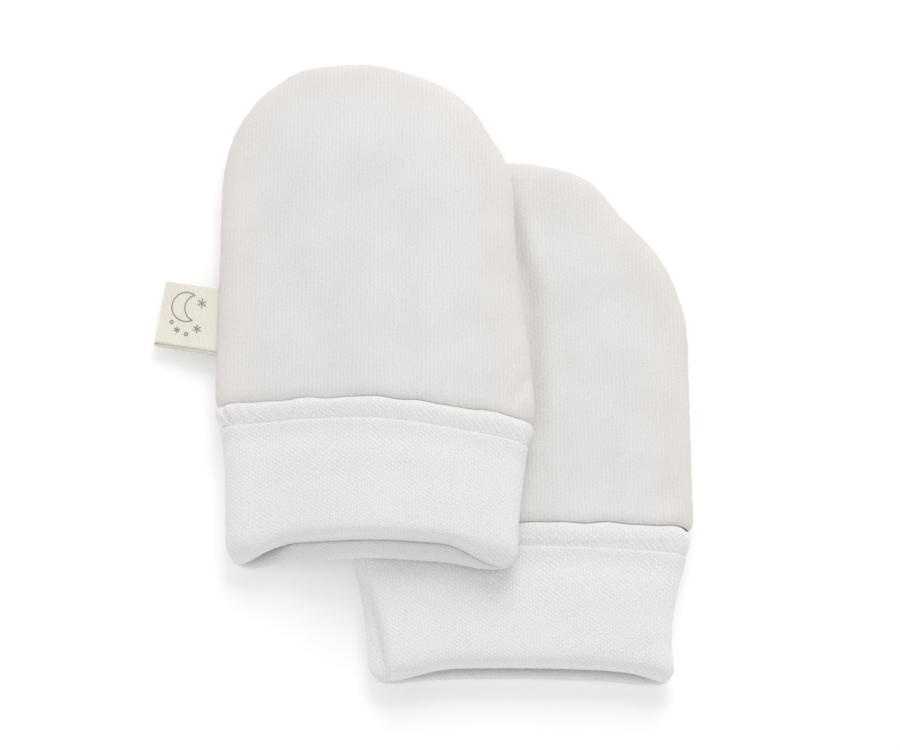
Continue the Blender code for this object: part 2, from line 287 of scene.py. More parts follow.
def from_edge(points, edge):
    """Each point's distance to the edge, the direction away from it, and its place along it."""
    start = edge[:-1][None]
    run = (edge[1:] - edge[:-1])[None]
    offset = points[:, None] - start
    share = np.clip((offset * run).sum(2) / (run * run).sum(2), 0.0, 1.0)
    away = offset - share[..., None] * run
    distance = np.sqrt((away ** 2).sum(2))
    nearest = distance.argmin(1)
    every = np.arange(len(points))
    steps = np.linalg.norm(run[0], axis=1)
    passed = np.concatenate([[0.0], np.cumsum(steps)])
    place = passed[nearest] + share[every, nearest] * steps[nearest]
    inset = distance[every, nearest]
    nearest_run = run[0][nearest]
    square_on = np.stack([nearest_run[:, 1], -nearest_run[:, 0]], 1) / steps[nearest][:, None]
    way_in = away[every, nearest] / np.maximum(inset, ON_THE_EDGE)[:, None]
    direction = np.where((inset > ON_THE_EDGE)[:, None], way_in, square_on)
    return inset, direction, place


print("rows in a body panel:", len(body_rows(LEFT_MITTEN)[2]))

# %% [markdown]
# ## Front and back of the body
#
# A maker cuts two such panels, joins them round the side on the wrong side of the cloth, and turns
# the body out. The seam leaves a fine groove with small puckers along the rim. At the hem the cloth
# is eased onto the narrower cuff, so it turns in, with shallow uneven gathers, and the seam strays
# a little. Long soft creases come from the hands that laid the mittens down, and one trough from
# the upper mitten's weight. They are placed one by one.

# %% Relief of the body
BODY_WALL = 1.5
SEAM_HALF_GAP = 0.05
HEM_ROUND = 3.6        # how far above the hem the cloth starts to turn in
HEM_LIP = 0.8          # the last bit of cloth, which the seam holds smooth
SEAM_GROOVE = 0.45     # depth of the groove along the side seam
GROOVE_REACH = 0.55
PAINTED_SHADE_REACH = 6.0      # how far in from the rim its painted shade fades
RIM_CLEAR = 3.0        # height above the side seam where gathers and waves are full
CREASE_CLEAR = 2.5     # and where creases are
RIDGE_PLACE = 2.1      # a crease's side ridges, in widths from its middle
RIDGE_SHARE = 0.35     # their height, as a share of its depth
CREASE_ENDS = 0.35     # depth at a crease's ends, as a share of its depth

Ripple = namedtuple("Ripple", "depth period reach seed")  # it dies out with reach, from its seam
PUCKERS = Ripple(0.13, 5.2, 2.4, 1.0)
GATHERS = (Ripple(0.22, 3.4, 4.5, 0.7), Ripple(0.132, 9.0, 11.0, 2.0))
HEM_WOBBLE = Ripple(0.35, 15.0, 4.0, 1.1)
BODY_WAVES = 0.10      # depth of the slow waves all over a panel

Crease = namedtuple("Crease", "x1 y1 x2 y2 depth width")

FRONT_CREASES = {
    "left_mitten": (
        Crease(21.0, -12.5, 26.0, -4.0, 0.55, 1.5),
        Crease(16.0, -11.0, 22.0, -2.0, 0.25, 2.5),
        Crease(-49.0, 8.0, -36.0, 19.0, 0.25, 4.0),
        Crease(-47.0, -2.0, -30.0, 4.0, 0.2, 4.5),
        Crease(2.0, 66.0, 15.0, 50.0, 0.22, 5.0)),
    "right_mitten": (  # the first two are where the left mitten's edge presses into it
        Crease(26.4, -16.0, 26.4, 26.0, 0.9, 2.3),
        Crease(25.8, 18.0, 20.0, 48.0, 0.9, 2.1),
        Crease(56.0, -36.0, 64.0, -28.0, 0.35, 2.2),
        Crease(36.0, -34.0, 47.0, -25.0, 0.2, 4.0),
        Crease(30.0, 40.0, 45.0, 28.0, 0.3, 5.0),
        Crease(52.0, 20.0, 62.0, 2.0, 0.2, 5.0)),
}
BACK_CREASES = {
    "left_mitten": (
        Crease(-45.0, 10.0, -28.0, 24.0, 0.4, 3.5),
        Crease(8.0, 30.0, 20.0, 8.0, 0.3, 4.0)),
    "right_mitten": (
        Crease(10.0, -20.0, 34.0, -6.0, 0.4, 3.5),
        Crease(44.0, 24.0, 56.0, 4.0, 0.35, 4.0)),
}


def crease_depth(creases, x, y):
    """Each crease is a soft trough between two lower ridges."""
    depth = np.zeros_like(x)
    for crease in creases:
        run_x = crease.x2 - crease.x1
        run_y = crease.y2 - crease.y1
        share = ((x - crease.x1) * run_x + (y - crease.y1) * run_y) / (run_x ** 2 + run_y ** 2)
        share = np.clip(share, 0.0, 1.0)
        away = np.hypot(x - crease.x1 - share * run_x, y - crease.y1 - share * run_y)
        trough = np.exp(-(away / crease.width) ** 2)
        ridge = np.exp(-(away / crease.width - RIDGE_PLACE) ** 2)
        fade = CREASE_ENDS + (1.0 - CREASE_ENDS) * np.sin(math.pi * share)
        depth += crease.depth * fade * (trough - RIDGE_SHARE * ridge)
    return depth


def section_rise(inset, face):
    """Height above the side seam, or depth below it, at a distance in from the rim."""
    roll = rounded(inset / RIM_ROLL, ROLL_POWER)
    if face < 0:
        return RIM_HEIGHT * roll
    return TOP_RISE * roll + CROWN_RISE * crown(inset / CROWN_REACH)


def section_slope(inset, face):
    step = 0.02
    low = np.maximum(inset - step, 0.0)
    return (section_rise(inset + step, face) - section_rise(low, face)) / (inset + step - low)


def unrolled(inset, face):
    """How much further out a point lies once the rolled side is laid flat."""
    mark = np.linspace(0.0, CROWN_REACH, 1200)
    spare = np.sqrt(1.0 + section_slope(mark, face) ** 2) - 1.0
    further = np.cumsum(spare[::-1])[::-1] * (mark[1] - mark[0])
    return np.interp(inset, mark, further)


print("cloth rolled over at each side:", round(float(unrolled(0.0, 1)), 1), "mm")

# %% How far the body's cloth lies inside its smooth form
def hem_wobble(x, from_hem):
    """How far cloth near the hem is shifted along the hand, where the seam strays."""
    return HEM_WOBBLE.depth * (uneven(x, HEM_WOBBLE.period, HEM_WOBBLE.seed)
                               * np.exp(-(from_hem / HEM_WOBBLE.reach) ** 2))


def panel_inward(mitten, face, place, rise, from_hem, x, y):
    """The sum of seam groove, puckers, the hem's turn, gathers, creases and slow waves."""
    groove = SEAM_GROOVE * np.exp(-(rise / GROOVE_REACH) ** 2)
    puckers = PUCKERS.depth * uneven(place, PUCKERS.period, PUCKERS.seed + face)
    puckers *= np.exp(-(rise / PUCKERS.reach) ** 2)
    gathers = sum(
        ripple.depth * uneven(x, ripple.period, ripple.seed) * np.exp(-from_hem / ripple.reach)
        for ripple in GATHERS)
    gathers *= smoothstep(from_hem)
    waves = BODY_WAVES * (uneven(x + 0.4 * y, 31.0, 1.3) + uneven(y - 0.3 * x, 26.0, 0.4))
    table = FRONT_CREASES if face > 0 else BACK_CREASES
    creases = crease_depth(table[mitten.name], x, y) * smoothstep(rise / CREASE_CLEAR)
    inward = groove + puckers + creases + (gathers + waves) * smoothstep(rise / RIM_CLEAR)
    if face < 0:
        inward = np.maximum(inward, 0.0)  # what it lies on holds the underside flat
    turned_in = BODY_WALL * (1.0 - rounded(from_hem / HEM_ROUND))
    return turned_in + inward * smoothstep(from_hem / HEM_LIP)


print("deepest crease:", max(crease.depth for crease in FRONT_CREASES["right_mitten"]), "mm")


# %% Build the body panels
def closed_across(outer, inner):
    """Rows that run over the outer side, back along the inner one, and close."""
    return np.concatenate([outer, inner[:, ::-1], outer[:, :1]], 1)


def make_panel(mitten, face):
    left, right, arch, from_hem = body_rows(mitten)
    across = -np.cos(np.linspace(0.0, math.pi, COLUMNS + 1))
    share = 0.5 * (across + 1.0)[None, :, None]
    plan = left[:, None] + share * (right - left)[:, None]
    plan[..., 1] += arch[:, None] * (1.0 - across ** 2)
    plan[..., 1] += hem_wobble(plan[..., 0], from_hem[:, None])
    below = np.array([0.0, -RIM_ROLL])
    edge = np.concatenate([left[:1] + below, left, right[-2::-1], right[:1] + below])
    inset, away, place = from_edge(plan.reshape(-1, 2), edge)
    away[-len(across):] = (0.0, -1.0)
    x, y = plan.reshape(-1, 2).T
    rise = section_rise(inset, face)
    slope = section_slope(inset, face)
    sideways = slope / np.sqrt(1.0 + slope ** 2)
    upwards = 1.0 / np.sqrt(1.0 + slope ** 2)
    rows_from_hem = np.repeat(from_hem, len(across))
    inward = panel_inward(mitten, face, place, rise, rows_from_hem, x, y)

    def wall_side(depth):
        side_x = x + depth * sideways * away[:, 0]
        side_y = y + depth * sideways * away[:, 1]
        height = np.maximum(rise - depth * upwards, SEAM_HALF_GAP)
        height = RIM_HEIGHT + face * height
        if mitten.raised:
            height = height + climb(side_x, side_y)
        return np.stack([side_x, side_y, height], 1).reshape(len(left), len(across), 3)

    outer = wall_side(inward)
    inner = wall_side(np.full_like(inward, BODY_WALL))
    further = unrolled(inset, face)
    flat = np.stack([x - away[:, 0] * further, y - away[:, 1] * further], 1)
    flat = flat.reshape(len(left), len(across), 2)
    # painted shade: darker and pinker towards the rolled rim, fading inward
    shade = np.exp(-inset / PAINTED_SHADE_REACH).reshape(len(left), len(across))
    name = mitten.name + ("_front" if face > 0 else "_back")
    return cloth_from_grid("knit_" + name, closed_across(outer, inner),
                           closed_across(flat, flat), closed_across(shade, shade))


panels = {}
for mitten in (LEFT_MITTEN, RIGHT_MITTEN):
    for face, side in ((1, "front"), (-1, "back")):
        panels[mitten.name + "_" + side] = make_panel(mitten, face)
for panel in panels.values():
    report(panel)

# %% [markdown]
# ## Cuffs
#
# A cuff is one tube of rib, sewn to the hem and turned back outward, so its wall is double. Cut
# lengthwise, it is a hook: down the inside, round a soft fold at the mouth, and back up to the
# turned edge, which stops short of the hem and leaves a strip of the inner tube showing. That cut
# is carried round the cuff's flat section, one ring for each point of the hook.

# %% The cuff's hook
CUFF_WALL = 1.2
LAYER_GAP = 0.4
CUFF_RIM_HEIGHT = 5.1
CUFF_ROLL = 6.0
CUFF_TOP_RISE = 4.7
CUFF_CROWN = 0.4
STRIP = 6.0            # height of the inner tube that shows above the turned edge
TURNED_EDGE = STRIP + 0.8  # from here up to the strip the turned edge is rounded
STRIP_TUCK = 2.0       # how deep the strip starts in the seam, and ends under the turned edge
STRIP_PROUD = 0.5      # how far the strip bulges past the turned-back layer
MOUTH_CORNER = 3.0
BOTTOM_ROUND = 0.5 * (2 * CUFF_WALL + LAYER_GAP)
FOLD_REACH = 3.8       # length of the soft fold at the mouth
HOOK_STEP = 0.9
STRIP_POINTS = 14      # along each half of the strip
AROUND = 260
TURNS = np.linspace(-0.5 * math.pi, 1.5 * math.pi, AROUND, endpoint=False)  # round the flat section


def half_round(along, inset, reach, radius, first, last, steps):
    """Half of an ellipse of the hook, which reaches towards the mouth, or the hem if negative."""
    angle = np.radians(np.linspace(first, last, steps + 1))
    return np.stack([along + reach * np.cos(angle), inset + radius * np.sin(angle)], 1)


def straight(start, end):
    steps = max(int(abs(end[0] - start[0]) / HOOK_STEP), 1)
    share = np.linspace(0.0, 1.0, steps + 1)[1:-1, None]
    return np.array(start) + share * (np.array(end) - np.array(start))


def hook(length):
    """A closed loop of (distance from hem, inset) round the double wall."""
    tube_out = CUFF_WALL + LAYER_GAP
    top = 0.5 * STRIP
    upper = top * np.linspace(0.0, 1.0, STRIP_POINTS) ** 1.6
    lower = np.linspace(top, top + STRIP, STRIP_POINTS)[1:]
    bulging = STRIP_TUCK - (STRIP_TUCK + STRIP_PROUD) * rounded(upper / top)
    sinking = (tube_out + STRIP_PROUD) * smoothstep((lower - top) / STRIP) - STRIP_PROUD
    strip = np.stack([SEAM_HALF_GAP + np.concatenate([upper, lower]),
                      np.concatenate([bulging, sinking])], 1)
    bottom = length - FOLD_REACH
    slot_end = half_round(length - BOTTOM_ROUND, BOTTOM_ROUND, 0.2, 0.5 * LAYER_GAP, 90, -90, 4)
    half_wall = 0.5 * CUFF_WALL
    turned_edge = half_round(TURNED_EDGE, half_wall, STRIP - TURNED_EDGE, half_wall, 90, -90, 12)
    fold = half_round(bottom, BOTTOM_ROUND, FOLD_REACH, BOTTOM_ROUND, -90, 90, 20)
    inside_end = (SEAM_HALF_GAP, STRIP_TUCK + CUFF_WALL)
    pieces = [
        strip, straight(strip[-1], slot_end[0]), slot_end,
        straight(slot_end[-1], turned_edge[0]), turned_edge,
        straight(turned_edge[-1], fold[0]), fold,
        straight(fold[-1], inside_end), np.array([inside_end])]
    return np.concatenate(pieces)


print("points round the hook:", len(hook(39.7)))

# %% The mouths, creases and ledges
# How far the front layer sinks at the mouth: the upper cuff is pressed shut, the lower one less.
MOUTH_DROP = {"left_mitten": 5.5, "right_mitten": 3.6}
MOUTH_DROP_REACH = 10.0

Hollow = namedtuple("Hollow", "x width lift")  # where the mouth stays open

CUFF_CREASES = {
    "left_mitten": (
        Crease(-44.0, -47.5, -38.0, -43.5, 0.3, 1.6),
        Crease(-40.0, -18.0, -20.0, -15.5, 0.15, 2.4)),
    "right_mitten": (
        Crease(12.0, -44.6, 60.0, -44.4, 0.25, 0.5),
        Crease(22.0, -48.5, 54.0, -48.5, 0.15, 2.0),
        Crease(30.0, -66.0, 38.0, -62.0, 0.12, 1.0),
        Crease(48.0, -72.0, 57.0, -69.0, 0.25, 2.0)),
}
# The lower cuff's left side is pushed in, so beside it runs a ledge, which widens to the mouth.
Ledge = namedtuple("Ledge", "start_y end_y start_width end_width height")
LEDGES = {"right_mitten": Ledge(-50.0, -76.0, 1.5, 4.6, 0.36)}
HOLLOWS = {"left_mitten": Hollow(-39.5, 4.0, 0.6), "right_mitten": Hollow(-1.0, 6.0, 0.2)}
# Where the front draws back from the back: from the first x, fully between the next two.
FRONT_SHAPE = {"left_mitten": (-48.0, -31.0, 4.0, 21.5), "right_mitten": (-8.0, 9.0, 49.0, 60.0)}
# How far the mouth's two ends hang below its middle, and where each hangs lowest.
CORNER_SAG = {"left_mitten": 1.2, "right_mitten": 0.5}
Sag = namedtuple("Sag", "inset width share")
LEFT_SAG = Sag(7.0, 5.5, 1.0)
RIGHT_SAG = Sag(8.0, 6.0, 0.8)
MIDDLE_SAG = 0.4
LEDGE_ROLL = 2.6       # how far in from a ledge the cloth takes to reach its full height


def front_shape(name, x):
    start, full, ending, end = FRONT_SHAPE[name]
    return smoothstep((x - start) / (full - start)) * smoothstep((end - x) / (end - ending))


def corner_sag(name, from_left, from_right):
    left = np.exp(-((from_left - LEFT_SAG.inset) / LEFT_SAG.width) ** 2)
    right = np.exp(-((from_right - RIGHT_SAG.inset) / RIGHT_SAG.width) ** 2)
    return CORNER_SAG[name] * (LEFT_SAG.share * left + RIGHT_SAG.share * right - MIDDLE_SAG)


def ledge_drop(name, x, y, left_x):
    """How far the front lies below its smooth roll, down to a ledge beside the left rim."""
    if name not in LEDGES:
        return np.zeros_like(x)
    ledge = LEDGES[name]
    share = (y - ledge.start_y) / (ledge.end_y - ledge.start_y)
    width = ledge.start_width + np.clip(share, 0.0, 1.2) * (ledge.end_width - ledge.start_width)
    inset = np.maximum(x - left_x, 0.0)
    smooth = rounded(inset / CUFF_ROLL, ROLL_POWER)
    stepped = ledge.height * np.clip(inset / width, 0.0, 1.0)
    stepped += (1.0 - ledge.height) * rounded((inset - width) / LEDGE_ROLL)
    return CUFF_TOP_RISE * np.maximum(smooth - stepped, 0.0) * smoothstep((share + 0.1) / 0.3)


print("mouths sink by", MOUTH_DROP, "mm")


# %% The cuff's flat section
def row_at(rows, position):
    """A row between the table's rows, on a smooth curve through them."""
    index = min(int(position), len(rows) - 2)
    part = position - index
    before = np.array(rows[max(index - 1, 0)])
    start = np.array(rows[index])
    end = np.array(rows[index + 1])
    after = np.array(rows[min(index + 2, len(rows) - 1)])
    slope_in = 0.5 * (end - before)
    slope_out = 0.5 * (after - start)
    curve = (2 * start - 2 * end + slope_in + slope_out) * part ** 3
    curve += (3 * end - 3 * start - 2 * slope_in - slope_out) * part ** 2
    return Row(*(curve + slope_in * part + start))


def section(row):
    """The cuff's flat section: across, height, and the inward direction at each point."""
    half = 0.5 * (row.right_x - row.left_x)
    across = np.cos(TURNS)
    inset = half * (1.0 - np.abs(across))
    roll = rounded(inset / CUFF_ROLL, ROLL_POWER)
    top = CUFF_TOP_RISE * roll + CUFF_CROWN * crown(inset / CROWN_REACH)
    height = CUFF_RIM_HEIGHT + np.where(np.sin(TURNS) >= 0.0, top, -CUFF_RIM_HEIGHT * roll)
    run_x = half * (np.roll(across, -1) - np.roll(across, 1))
    run_z = np.roll(height, -1) - np.roll(height, 1)
    size = np.hypot(run_x, run_z)
    return half, across, height, -run_z / size, run_x / size


print("section of the left cuff's mouth:", len(section(LEFT_MITTEN.cuff[-1])[1]), "points")

# %% How far the cuff's cloth lies inside its smooth form
STRIP_GATHERS = 0.12   # depth of the strip's fine gathers
END_GATHERS = 0.4      # and how much deeper they are at the strip's left end
END_REACH = 8.0
WIDE_STRIP_GATHERS = 0.08
EDGE_LIFT = 0.15       # how far the turned edge stands up
EDGE_LIFT_REACH = 1.6
HEEL_DEPTH = 0.22      # the soft trough below the turned edge
HEEL_PLACE = STRIP + 5.0
HEEL_REACH = 2.2
TOP_FULL = 0.3         # share of the top's rise above which creases and gathers are full


def cuff_inward(mitten, distance, inset, x, y, topness):
    """The sum of the strip's gathers, the lifted edge, the trough below it, creases and waves."""
    shown = float(np.clip(1.0 - inset / CUFF_WALL, 0.0, 1.0))
    on_strip = float(smoothstep((STRIP + 0.2 - distance) / 0.8))
    left_end = np.exp(-((x - mitten.cuff[0].left_x) / END_REACH) ** 2)
    gathers = (STRIP_GATHERS + END_GATHERS * left_end) * uneven(x + 0.5 * y, 2.9, 0.4)
    gathers += WIDE_STRIP_GATHERS * uneven(x, 7.5, 1.9)
    lift = EDGE_LIFT * math.exp(-((distance - TURNED_EDGE) / EDGE_LIFT_REACH) ** 2)
    heel = HEEL_DEPTH * math.exp(-((distance - HEEL_PLACE) / HEEL_REACH) ** 2)
    waves = 0.12 * uneven(x + 0.3 * y, 23.0, 0.9) + 0.1 * uneven(y, 17.0, 0.3)
    creases = crease_depth(CUFF_CREASES[mitten.name], x, y)
    inward = creases + on_strip * gathers + (1.0 - on_strip) * (heel + waves - lift)
    return shown * np.where(topness > 0.0, inward * smoothstep(topness / TOP_FULL), 0.0)


def mouth_drop(mitten, distance, length, x, topness):
    """How far the front sinks towards the back at the mouth."""
    near = max(distance - length + MOUTH_DROP_REACH, 0.0) / MOUTH_DROP_REACH
    hollow = HOLLOWS[mitten.name]
    held_up = hollow.lift * np.exp(-((x - hollow.x) / hollow.width) ** 2)
    return MOUTH_DROP[mitten.name] * near ** 4 * topness * (1.0 - held_up)


print("the turned edge stands up by", EDGE_LIFT, "mm")


# %% Carry the hook round the cuff
def make_cuff(mitten):
    length = mitten.cuff[0].left_y - mitten.cuff[-1].left_y
    marks = [mitten.cuff[0].left_y - row.left_y for row in mitten.cuff]
    profile = hook(length)
    steps = np.hypot(*(np.roll(profile, -1, 0) - profile).T)
    wound = np.concatenate([[0.0], np.cumsum(steps)[:-1]])
    points, flat = [], []
    for (distance, inset), along in zip(profile, wound):
        row = row_at(mitten.cuff, float(np.interp(distance, marks, range(len(marks)))))
        half, across, height, inward_x, inward_z = section(row)
        share = distance / length
        part = 0.5 * (across + 1.0)
        x = row.left_x + part * (row.right_x - row.left_x)
        y = row.left_y + part * (row.right_y - row.left_y) + row.arch * (1.0 - across ** 2)
        y = y + hem_wobble(x, distance)
        topness = np.clip((height - CUFF_RIM_HEIGHT) / CUFF_TOP_RISE, 0.0, 1.0)
        y = y + mitten.front_shorter * topness * front_shape(mitten.name, x) * share ** 5
        from_rim = np.clip(MOUTH_CORNER - half * (1.0 - np.abs(across)), 0.0, None)
        y = y + (MOUTH_CORNER - np.sqrt(MOUTH_CORNER ** 2 - from_rim ** 2)) * share ** 8
        y = y - corner_sag(mitten.name, x - row.left_x, row.right_x - x) * share ** 8
        depth = inset + cuff_inward(mitten, distance, inset, x, y, topness)
        ledge = ledge_drop(mitten.name, x, y, row.left_x) * (np.sin(TURNS) > 0.0)
        z = height + depth * inward_z
        z = z - np.maximum(mouth_drop(mitten, distance, length, x, topness), ledge)
        z = np.maximum(z, 0.0)  # what it lies on holds the underside flat
        x = x + depth * inward_x
        if mitten.raised:
            z = z + climb(x, y)
        points.append(np.stack([x, y, z], 1))
        round_it = np.hypot(np.roll(x, -1) - x, np.roll(z, -1) - z)
        flat.append(np.stack([np.concatenate([[0.0], np.cumsum(round_it)]),
                              np.full(AROUND + 1, along)], 1))
    points = np.array(points)
    points = np.concatenate([points, points[:, :1]], 1)
    points = np.concatenate([points, points[:1]], 0)
    girth = np.mean([line[-1, 0] for line in flat])
    flat = np.array([line * (girth / line[-1, 0], 1.0) for line in flat])
    flat = np.concatenate([flat, flat[-1:] + np.array([0.0, steps[-1]])], 0)
    return cloth_from_grid("knit_" + mitten.name + "_cuff", points, flat, np.zeros(flat.shape[:2]))


cuffs = {}
for mitten in (LEFT_MITTEN, RIGHT_MITTEN):
    cuffs[mitten.name] = make_cuff(mitten)
for cuff in cuffs.values():
    report(cuff)

# %% [markdown]
# ## Label
#
# A short length of ribbed cotton tape is folded in half and caught in the side seam. It could be a
# block with rounded edges, but the fold would look dead, so a narrow grid is wrapped round the
# fold, drooping to the table, and given its thickness by a Solidify modifier that is then applied.

# %% Folded tape
LABEL_SEAM = np.array([[-51.6, 6.2], [-51.6, 23.0]])  # lower and upper corner at the side seam
LABEL_FOLD = np.array([[-67.6, 9.4], [-65.3, 25.8]])  # and at the fold
LABEL_SEAM_HEIGHT = 4.7
LABEL_FOLD_HEIGHT = 2.8
TAPE_WALL = 0.4
TAPE_SPREAD = 0.5      # between the two layers' middles, most at the fold
LABEL_BELLY = 0.35     # how far the label's middle bulges
LABEL_CURL = 0.5       # how far the fold's two ends curl up
LABEL_COLUMNS = 26
LABEL_ROWS = 24        # along each layer
LOWER_LAYER_SHIFT = 0.8  # the fold is a little askew, so the lower layer shows along one edge


def label_place(out, up, layer):
    """A place on the label: out 0 at the seam to 1 at the fold, up 0 to 1, layer 1 above to -1."""
    near = LABEL_SEAM[0] + up[..., None] * (LABEL_SEAM[1] - LABEL_SEAM[0])
    far = LABEL_FOLD[0] + up[..., None] * (LABEL_FOLD[1] - LABEL_FOLD[0])
    plan = near + out[..., None] * (far - near)
    plan[..., 1] -= 0.5 * LOWER_LAYER_SHIFT * (1.0 - layer)
    droop = LABEL_SEAM_HEIGHT + (LABEL_FOLD_HEIGHT - LABEL_SEAM_HEIGHT) * smoothstep(out)
    belly = LABEL_BELLY * np.sin(math.pi * out) * np.sin(math.pi * up)
    curl = LABEL_CURL * out * (2.0 * up - 1.0) ** 2
    height = droop + belly + curl + 0.5 * TAPE_SPREAD * layer * (0.6 + 0.4 * out)
    return np.concatenate([plan, height[..., None]], -1)


def make_label():
    turns = np.linspace(0.0, math.pi, 9)[1:-1]
    path = [(out, 1.0) for out in np.linspace(0.0, 1.0, LABEL_ROWS)]
    path += [(1.0 + 0.02 * math.sin(turn), math.cos(turn)) for turn in turns]
    path += [(out, -1.0) for out in np.linspace(1.0, 0.0, LABEL_ROWS)]
    out = np.array([[place[0]] * LABEL_COLUMNS for place in path])
    layer = np.array([[place[1]] * LABEL_COLUMNS for place in path])
    up = np.tile(np.linspace(0.0, 1.0, LABEL_COLUMNS), (len(path), 1))
    points = label_place(out, up, layer)
    steps = np.linalg.norm(np.diff(points[:, 0], axis=0), axis=1)
    wound = np.concatenate([[0.0], np.cumsum(steps)])
    width = np.linalg.norm(LABEL_SEAM[1] - LABEL_SEAM[0])
    flat = np.stack([np.repeat(wound[:, None], LABEL_COLUMNS, 1), up * width], -1)
    label = cloth_from_grid("tape_label", points, flat, np.zeros(out.shape))
    wall = label.modifiers.new("Tape wall", "SOLIDIFY")
    wall.thickness = TAPE_WALL * MM
    wall.offset = 0.0
    bpy.ops.object.modifier_apply(modifier=wall.name)
    return label


label = make_label()
report(label)

# %% [markdown]
# ## Motif on the label
#
# The label carries a small line motif, printed in raised ink: here a crescent moon, three stars and
# two dots. Each stroke is a poly curve with a round bevel, laid along the tape so that half of it
# stands proud.

# %% Moon and stars
MOTIF_MIDDLE = np.array([0.55, 0.55])  # share of the way out from the seam, and up
MOTIF_SCALE = np.array([15.2, 16.6])   # the tape's length and width, which turn mm into shares
LINE_RADIUS = 0.21
ARC_STEP = 10          # degrees
LINE_SINK = 0.08       # how far a line's middle lies below the tape's face

Arc = namedtuple("Arc", "x y radius first last")
Star = namedtuple("Star", "x y reach")
MOON = (Arc(-0.6, 1.5, 3.9, 60, 300), Arc(2.6, 1.5, 3.6, 110, 250))
DOTS = (Arc(-3.9, -3.0, 0.4, 0, 360), Arc(0.1, -5.7, 0.4, 0, 360))
STARS = (Star(3.5, 3.0, 1.3), Star(2.7, -3.9, 1.1), Star(-2.3, -4.9, 0.8))


def arc_points(arc):
    steps = max(int((arc.last - arc.first) / ARC_STEP), 6)
    turn = np.radians(np.linspace(arc.first, arc.last, steps + 1))
    return np.stack([arc.x + arc.radius * np.cos(turn), arc.y + arc.radius * np.sin(turn)], 1)


def star_strokes(star):
    middle = np.array([star.x, star.y])
    for turn in (90.0, 30.0, -30.0):
        ray = star.reach * np.array([math.cos(math.radians(turn)), math.sin(math.radians(turn))])
        yield np.array([middle - ray, middle, middle + ray])


def make_motif():
    strokes = [arc_points(arc) for arc in MOON + DOTS]
    for star in STARS:
        strokes += star_strokes(star)
    bpy.ops.object.select_all(action="DESELECT")
    bpy.ops.curve.primitive_nurbs_path_add()
    motif = bpy.context.object
    motif.name = "printed_motif"
    motif.data.splines.clear()
    motif.data.bevel_depth = LINE_RADIUS * MM
    motif.data.bevel_resolution = 1
    motif.data.use_fill_caps = True
    for stroke in strokes:
        shares = MOTIF_MIDDLE + stroke * (-1.0, 1.0) / MOTIF_SCALE
        placed = label_place(shares[:, 0], shares[:, 1], 1.0)
        placed[:, :2] -= FOOTPRINT_MIDDLE
        placed[:, 2] += 0.5 * TAPE_WALL - LINE_SINK
        spline = motif.data.splines.new("POLY")
        spline.points.add(len(placed) - 1)
        for point, place in zip(spline.points, placed):
            point.co = (*(place * MM), 1.0)
    bpy.ops.object.convert(target="MESH")
    motif = bpy.context.object
    bpy.ops.object.shade_smooth()
    return motif


motif = make_motif()
report(motif)

# %% [markdown]
# ## Materials
#
# Every colour is given as a hex value from a swatch and turned into the linear light that shaders
# add up. One helper adds a node, sets it and links it.

# %% Colour and node helpers
def linear(colour):
    """An sRGB hex colour as linear red, green, blue and alpha."""
    shares = [int(colour[place:place + 2], 16) / 255.0 for place in (1, 3, 5)]
    light = [share / 12.92 if share <= 0.04045 else ((share + 0.055) / 1.055) ** 2.4
             for share in shares]
    return (*light, 1.0)


def add(material, kind, settings=None, inputs=None):
    """A node with its settings; an input is a value, or another node's output to link."""
    node = material.node_tree.nodes.new(kind)
    for name, value in (settings or {}).items():
        setattr(node, name, value)
    for name, value in (inputs or {}).items():
        if isinstance(value, bpy.types.NodeSocket):
            material.node_tree.links.new(value, node.inputs[name])
        else:
            node.inputs[name].default_value = value
    return node


def new_material(name, roughness, sheen):
    material = bpy.data.materials.new(name)
    material.use_nodes = True
    shader = material.node_tree.nodes["Principled BSDF"]
    shader.inputs["Roughness"].default_value = roughness
    shader.inputs["Specular IOR Level"].default_value = 0.25
    shader.inputs["Sheen Weight"].default_value = sheen
    shader.inputs["Sheen Roughness"].default_value = 0.6
    return material, shader


print("linear white:", linear("#ffffff"))

# %% [markdown]
# ### Knitted cotton
#
# Looked at closely, weft knit is columns of little V-shaped stitches, called wales. Two ramps make
# it: one rises and falls across each wale, and the other runs along it, slanted so that each next
# wale's stitches sit half a stitch lower. Slow noise lets the wales wander, fine noise is the nap,
# and soft clouds are where the nap was stroked the other way.

# %% Knit material
HALF_A_STITCH = 0.5    # how much lower the stitches sit in each next wale, so they stagger
WANDER_LENGTH = 7.0    # over how long a stretch a wale wanders, in mm
PATCH_LENGTH = 14.0    # how large the nap's clouds are, in mm
PATCH_SHADE = "#f4f3f3"  # what the cloth is multiplied by in them


